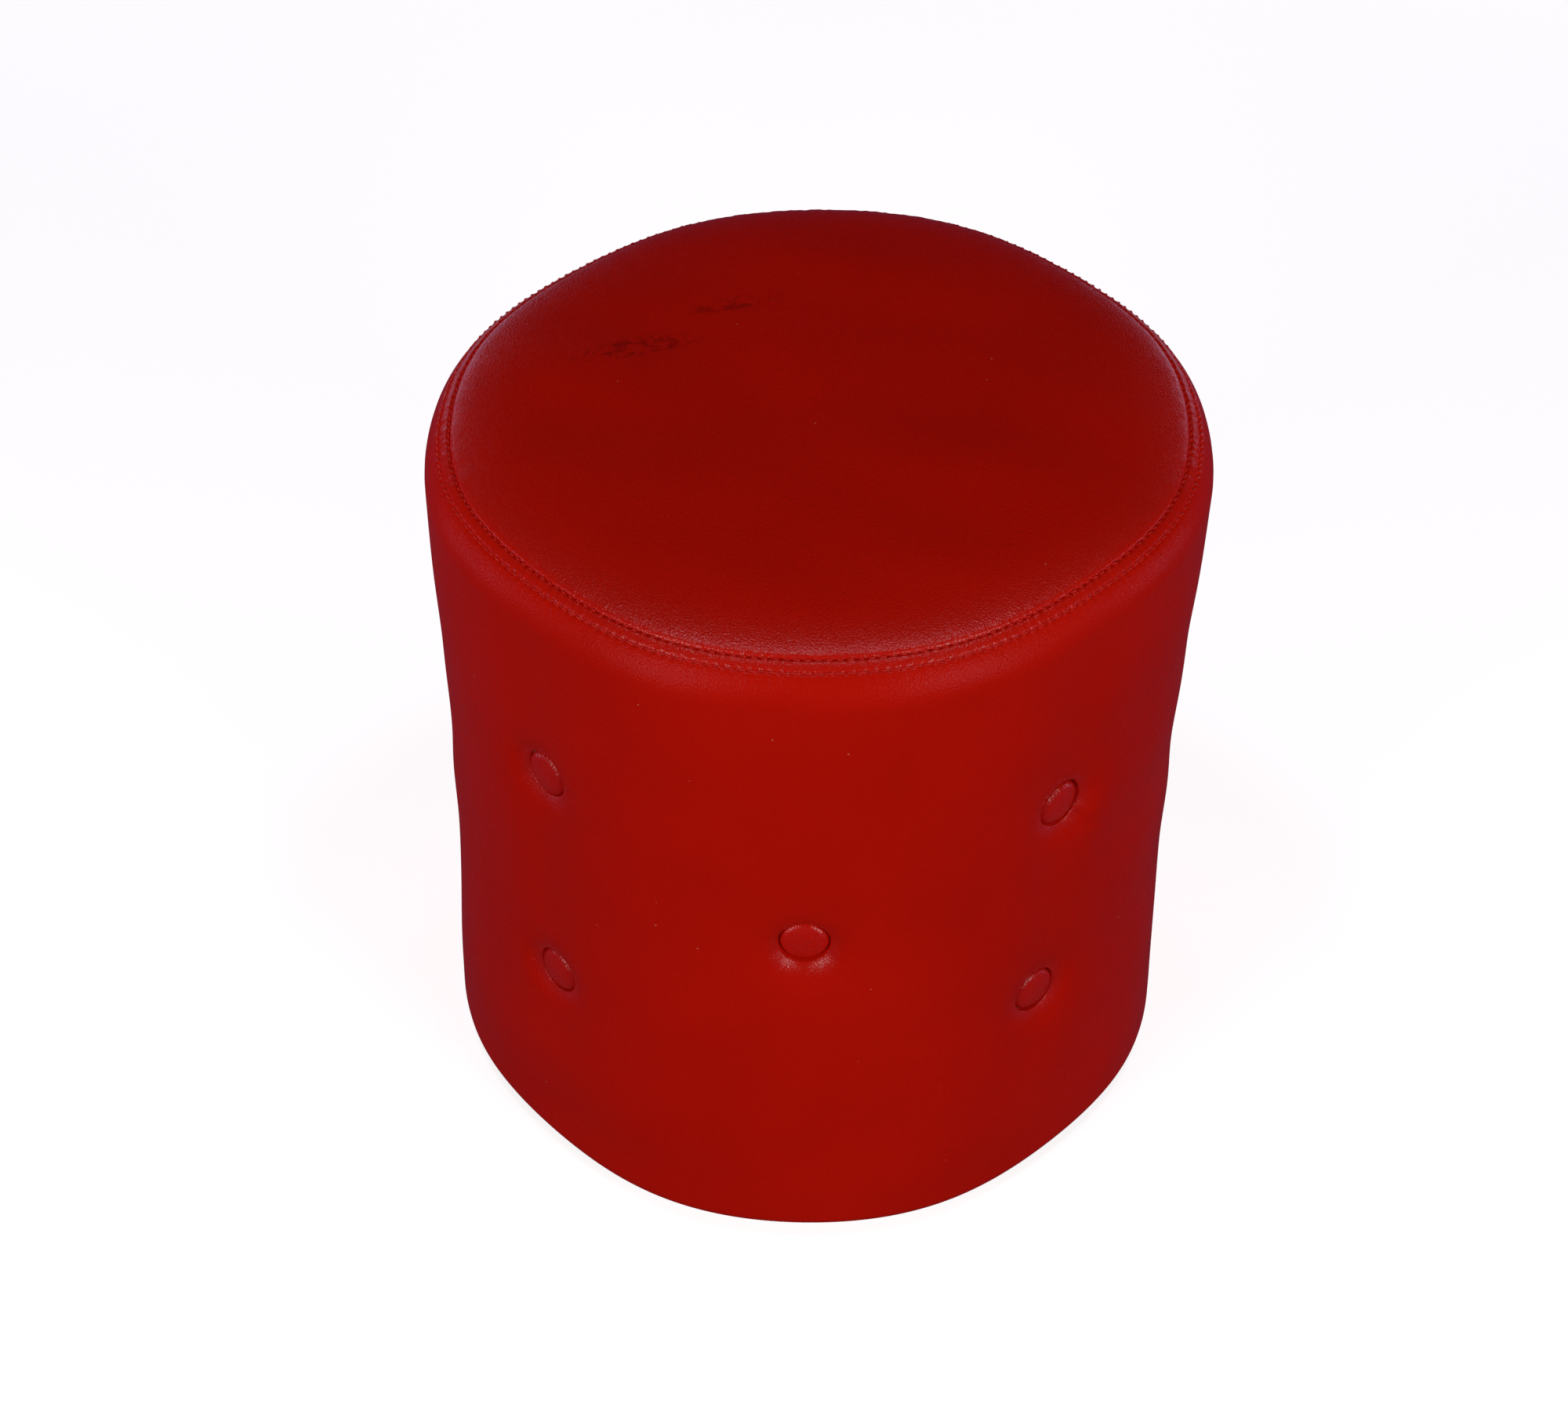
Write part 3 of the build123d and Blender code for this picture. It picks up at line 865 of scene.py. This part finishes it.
# Rubbed marks on the seat: centre and half lengths in metres, all turned one way
scuff_places = [
    ((-0.092, 0.045, 0.399), (0.040, 0.010, 0.012)),
    ((-0.045, 0.082, 0.399), (0.030, 0.007, 0.012)),
]
scuff_turn = math.radians(14.0)


def near_spot(tree, place, centre, stretch, inner, outer):
    """1 inside a stretched ball round a point and 0 outside it."""
    mapping = pattern(tree, place, "ShaderNodeMapping", vector_type="TEXTURE")
    set_inputs(mapping, Location=centre, Rotation=(0.0, 0.0, scuff_turn), Scale=stretch)
    length = add(tree, "ShaderNodeVectorMath", operation="LENGTH")
    tree.links.new(mapping.outputs["Vector"], length.inputs[0])
    return map_range(tree, length.outputs["Value"], inner, outer, 1.0, 0.0)


def scuffed(tree, place, colour):
    """Dark rubbed marks on the seat and a few pale specks of lint."""
    streaks = pattern(tree, place, "ShaderNodeTexNoise", Scale=150.0, Detail=3.0, Distortion=0.8)
    lint = pattern(tree, place, "ShaderNodeTexVoronoi", Scale=46.0, Randomness=1.0)
    rubbed = colour_ramp(tree, streaks.outputs["Fac"], [(0.50, black), (0.62, white)])
    for centre, stretch in scuff_places:
        share = product(tree, rubbed, near_spot(tree, place, centre, stretch, 0.5, 1.0))
        colour = mixed(tree, product(tree, share, 0.5), colour, (0.20, 0.004, 0.001, 1.0))
    specks = colour_ramp(tree, lint.outputs["Distance"], [(0.018, (0.55, 0.55, 0.55)), (0.026, black)])
    return mixed(tree, specks, colour, (0.85, 0.30, 0.24, 1.0))


def leatherette(name, deep, bright, gloss, scuffs=False):
    """Red coated cloth with a fine pebble grain, and a coat that shines where it is stretched."""
    material, tree, shader, place = new_material(name)
    grain = pattern(tree, place, "ShaderNodeTexVoronoi", feature="SMOOTH_F1", Scale=1000.0, Smoothness=0.2)
    pores = pattern(tree, place, "ShaderNodeTexNoise", Scale=2300.0, Detail=2.0, Roughness=0.6)
    creasing = pattern(tree, place, "ShaderNodeTexNoise", Scale=260.0, Detail=4.0, Roughness=0.62)
    patches = pattern(tree, place, "ShaderNodeTexNoise", Scale=9.0, Detail=3.0, Roughness=0.55)
    tone = colour_ramp(tree, patches.outputs["Fac"], [(0.30, deep), (0.72, bright)])
    pore_tone = colour_ramp(tree, grain.outputs["Distance"], [(0.0, white), (0.9, (0.93, 0.92, 0.92))])
    colour = mixed(tree, 1.0, tone, pore_tone, "MULTIPLY")
    if scuffs:
        colour = scuffed(tree, place, colour)
    rough = map_range(tree, creasing.outputs["Fac"], 0.3, 0.7, gloss - 0.06, gloss + 0.08)
    tree.links.new(rough, shader.inputs["Roughness"])
    normal = bump(tree, creasing.outputs["Fac"], 0.1, 0.0005)
    normal = bump(tree, pores.outputs["Fac"], 0.3, 0.00008, normal)
    normal = bump(tree, grain.outputs["Distance"], 0.6, 0.00028, normal)
    tree.links.new(normal, shader.inputs["Coat Normal"])
    zone = add(tree, "ShaderNodeAttribute", attribute_name="stretched")
    sparkle = pattern(tree, place, "ShaderNodeTexNoise", Scale=1150.0, Detail=2.0, Roughness=0.55)
    tops = map_range(tree, sparkle.outputs["Fac"], 0.44, 0.68, 0.28, 3.1)
    glitter = product(tree, zone.outputs["Fac"], tops, clamp=True)
    tree.links.new(glitter, shader.inputs["Coat Weight"])
    paint(tree, shader, colour, normal, Coat_Roughness=gloss, Specular_IOR_Level=0.08,
          Specular_Tint=(1.0, 0.74, 0.90, 1.0))
    return material


def thread_material_with_painted_highlight():
    material, tree, shader, place = new_material("sewing_thread_painted_highlight")
    twist = pattern(tree, place, "ShaderNodeTexWave", Scale=900.0, Distortion=1.5,
                    bands_direction="DIAGONAL")
    fuzz = pattern(tree, place, "ShaderNodeTexNoise", Scale=700.0, Detail=2.0)
    # Partly painted highlight: the thread's red is its own colour, but it is painted lighter and pinker
    # than the cover so the stitches show as light dashes, where light would catch along the stitch row.
    tone = colour_ramp(tree, fuzz.outputs["Fac"], [(0.3, (0.82, 0.022, 0.014)),
                                                   (0.7, (0.92, 0.040, 0.028))])
    paint(tree, shader, tone, bump(tree, twist.outputs["Fac"], 0.6, 0.0001), Roughness=0.55,
          Specular_IOR_Level=0.15)
    return material


def grained(name, dark, light, scale, stretch, roughness):
    """Wood-like material with long streaks and a little fibre."""
    material, tree, shader, place = new_material(name)
    long_way = pattern(tree, place, "ShaderNodeMapping", Scale=stretch).outputs["Vector"]
    streaks = pattern(tree, long_way, "ShaderNodeTexNoise", Scale=scale, Detail=6.0, Roughness=0.6,
                      Distortion=0.4)
    fibre = pattern(tree, long_way, "ShaderNodeTexNoise", Scale=scale * 9, Detail=3.0)
    tone = colour_ramp(tree, streaks.outputs["Fac"], [(0.32, dark), (0.68, light)])
    paint(tree, shader, tone, bump(tree, fibre.outputs["Fac"], 0.3, 0.0003), Roughness=roughness)
    return material


def plywood_material():
    """Birch face with thin dark and light layers that show on the rim."""
    material, tree, shader, place = new_material("plywood")
    layers = pattern(tree, place, "ShaderNodeTexWave", wave_type="BANDS", bands_direction="Z",
                     Scale=105.0, Distortion=0.6)
    long_way = pattern(tree, place, "ShaderNodeMapping", Scale=(1.0, 7.0, 1.0)).outputs["Vector"]
    grain = pattern(tree, long_way, "ShaderNodeTexNoise", Scale=26.0, Detail=6.0, Roughness=0.65,
                    Distortion=1.2)
    face = colour_ramp(tree, grain.outputs["Fac"], [(0.3, (0.50, 0.34, 0.18)), (0.7, (0.68, 0.50, 0.30))])
    rim = colour_ramp(tree, layers.outputs["Fac"], [(0.35, (0.30, 0.18, 0.08)), (0.6, (0.66, 0.48, 0.28))])
    paint(tree, shader, mixed(tree, 0.35, face, rim), bump(tree, grain.outputs["Fac"], 0.2, 0.0003),
          Roughness=0.62)
    return material


def speckled(name, dark, light, scale, roughness, height, metallic=0.0):
    """Fine-grained material for foam, cloth, steel, twine and plastic."""
    material, tree, shader, place = new_material(name)
    cells = pattern(tree, place, "ShaderNodeTexVoronoi", Scale=scale)
    cloud = pattern(tree, place, "ShaderNodeTexNoise", Scale=scale * 0.2, Detail=4.0)
    tone = colour_ramp(tree, cloud.outputs["Fac"], [(0.3, dark), (0.7, light)])
    rough = map_range(tree, cloud.outputs["Fac"], 0.0, 1.0, roughness - 0.08, roughness + 0.08)
    tree.links.new(rough, shader.inputs["Roughness"])
    paint(tree, shader, tone, bump(tree, cells.outputs["Distance"], 0.5, height), Metallic=metallic)
    return material


def dress_frame():
    """Materials of the CAD nodes that stay."""
    plywood = plywood_material()
    timber = grained("pine_timber", (0.52, 0.34, 0.16), (0.74, 0.54, 0.30), 18.0, (8.0, 8.0, 0.7), 0.6)
    fibre = grained("bent_fibreboard", (0.20, 0.11, 0.05), (0.34, 0.21, 0.11), 60.0, (1.0, 1.0, 1.0), 0.7)
    steel = speckled("zinc_steel", (0.52, 0.52, 0.50), (0.72, 0.72, 0.70), 900.0, 0.34, 0.00004, 1.0)
    twine = speckled("waxed_twine", (0.62, 0.58, 0.48), (0.82, 0.78, 0.68), 1400.0, 0.6, 0.0002)
    plastic = speckled("black_plastic", (0.012, 0.012, 0.013), (0.03, 0.03, 0.032), 1500.0, 0.42, 0.00005)
    kept = {"base_board": plywood, "top_board": plywood, "wall_tube": fibre,
            "lower_post_screws": steel, "upper_post_screws": steel, "glide_screws": steel,
            "wall_staples": steel, "cover_staples": steel, "dust_cover_staples": steel,
            "button_cores": steel, "tie_washers": steel, "button_twines": twine}
    for number in range(1, 5):
        kept[f"post_{number}"] = timber
        kept[f"glide_{number}"] = plastic
    for node, material in kept.items():
        mesh = bpy.data.objects[node].data
        mesh.materials.clear()
        mesh.materials.append(material)


# ---- Camera, light and floor ----
camera_place = (0.0, -1.2886, 1.3627)
camera_pitch = math.radians(42.08)
camera_yaw = math.radians(-0.66)
camera_roll = math.radians(0.96)
camera_lens = 75.12

# Pairs of lights: name, degrees either side of the front, elevation, distance, size, power
# and colour
studio_lights = [
    ("front", 40.0, 14.0, 2.0, 0.8, 11.3, (1.0, 0.96, 0.93)),
    ("high", 75.0, 76.0, 1.9, 0.30, 3.1, (1.0, 0.90, 1.0)),
    ("side", 95.0, 0.0, 2.2, 0.4, 2.8, (0.84, 0.68, 1.0)),
    ("back", 150.0, 5.0, 2.2, 0.7, 3.6, (0.80, 0.68, 1.0)),
]
# Glow of the room from straight down, over the horizon, to straight up
world_glow = [(0.0, (0.034, 0.038, 0.050)), (0.42, (0.050, 0.040, 0.100)),
              (0.50, (0.085, 0.062, 0.160)), (0.60, (0.012, 0.012, 0.014)), (1.0, (0.005, 0.005, 0.006))]


def make_camera():
    forward = Vector((math.sin(camera_yaw) * math.cos(camera_pitch),
                      math.cos(camera_yaw) * math.cos(camera_pitch), -math.sin(camera_pitch)))
    right = Vector((math.cos(camera_yaw), -math.sin(camera_yaw), 0.0))
    up = right.cross(forward)
    turned_right = right * math.cos(camera_roll) + up * math.sin(camera_roll)
    turned_up = up * math.cos(camera_roll) - right * math.sin(camera_roll)
    data = bpy.data.cameras.new("camera")
    data.lens = camera_lens
    data.sensor_width = 36.0
    camera = bpy.data.objects.new("camera", data)
    rotation = Matrix((turned_right, turned_up, -forward)).transposed()
    camera.matrix_world = Matrix.Translation(camera_place) @ rotation.to_4x4()
    bpy.context.scene.collection.objects.link(camera)
    bpy.context.scene.camera = camera


def make_light(name, azimuth, elevation, distance, size, power, colour):
    """Square soft light that faces the middle of the stool."""
    data = bpy.data.lights.new(name, "AREA")
    data.size = size
    data.energy = power
    data.color = colour
    light = bpy.data.objects.new(name, data)
    turn, rise = math.radians(azimuth), math.radians(elevation)
    away = Vector((math.sin(turn) * math.cos(rise), -math.cos(turn) * math.cos(rise), math.sin(rise)))
    light.location = Vector((0.0, 0.0, 0.25)) + away * distance
    light.rotation_euler = away.to_track_quat("Z", "Y").to_euler()
    bpy.context.scene.collection.objects.link(light)


def make_stage():
    floor = new_object("floor", [(-6000, -6000, -0.4), (6000, -6000, -0.4), (6000, 6000, -0.4),
                                 (-6000, 6000, -0.4)], [(0, 1, 2, 3)], smooth=False)
    material, _, shader, _ = new_material("pale_floor")
    set_inputs(shader, Base_Color=(0.9, 0.9, 0.9, 1.0), Roughness=0.9, Specular_IOR_Level=0.0,
               Emission_Color=(1.0, 1.0, 1.0, 1.0), Emission_Strength=0.78)
    floor.data.materials.append(material)
    floor.visible_diffuse = False
    floor.visible_glossy = False
    world = bpy.data.worlds.new("studio")
    world.use_nodes = True
    tree = world.node_tree
    split = tree.nodes.new("ShaderNodeSeparateXYZ")
    tree.links.new(tree.nodes.new("ShaderNodeTexCoord").outputs["Generated"], split.inputs["Vector"])
    height = map_range(tree, split.outputs["Z"], -1.0, 1.0, 0.0, 1.0)
    tree.links.new(colour_ramp(tree, height, world_glow), tree.nodes["Background"].inputs["Color"])
    bpy.context.scene.world = world
    for name, azimuth, *rest in studio_lights:
        make_light(name + "_left", -azimuth, *rest)
        make_light(name + "_right", azimuth, *rest)
    bpy.context.scene.view_settings.view_transform = "Standard"


# ---- Putting it together ----
def build():
    drape_field[:] = drape_side_band()
    make_camera()
    make_stage()
    cover = leatherette("red_leatherette", (0.71, 0.0085, 0.0013), (0.80, 0.0100, 0.0017), 0.31, True)
    button_cover = leatherette("button_leatherette", (0.71, 0.0085, 0.0014), (0.80, 0.0100, 0.0019), 0.27)
    thread = thread_material_with_painted_highlight()
    foam = speckled("pale_foam", (0.78, 0.72, 0.46), (0.88, 0.84, 0.62), 700.0, 0.9, 0.0006)
    cloth = speckled("black_cloth", (0.010, 0.010, 0.011), (0.022, 0.022, 0.024), 1600.0, 0.85, 0.0002)
    band = make_side_band(cover)
    panel = make_seat_panel(cover)
    topstitches = stitch_row("topstitches", topstitch_drop, 0.34, 0.35, thread, 21)
    seam_stitches = stitch_row("seam_stitches", 0.4, 0.1, 0.25, thread, 22)
    caps = [make_button(button, 40 + index, button_cover) for index, button in enumerate(buttons)]
    side_foam = make_side_foam(foam)
    seat_foam = make_seat_foam(foam)
    dust_cloth = make_dust_cloth(cloth)
    dress_frame()
    for piece, node, slot in ((band, "side_cover", "cover"), (panel, "top_cover", "cover"),
                              (topstitches, "topstitch_thread", "thread"),
                              (seam_stitches, "seam_thread", "thread"),
                              (side_foam, "side_foam", "foam"), (seat_foam, "seat_foam", "foam"),
                              (dust_cloth, "dust_cover", "dust_cloth")):
        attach(piece, "root")
        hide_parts(node)
    for cap, button in zip(caps, buttons):
        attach(cap, "root")
        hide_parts(button[0])


build()
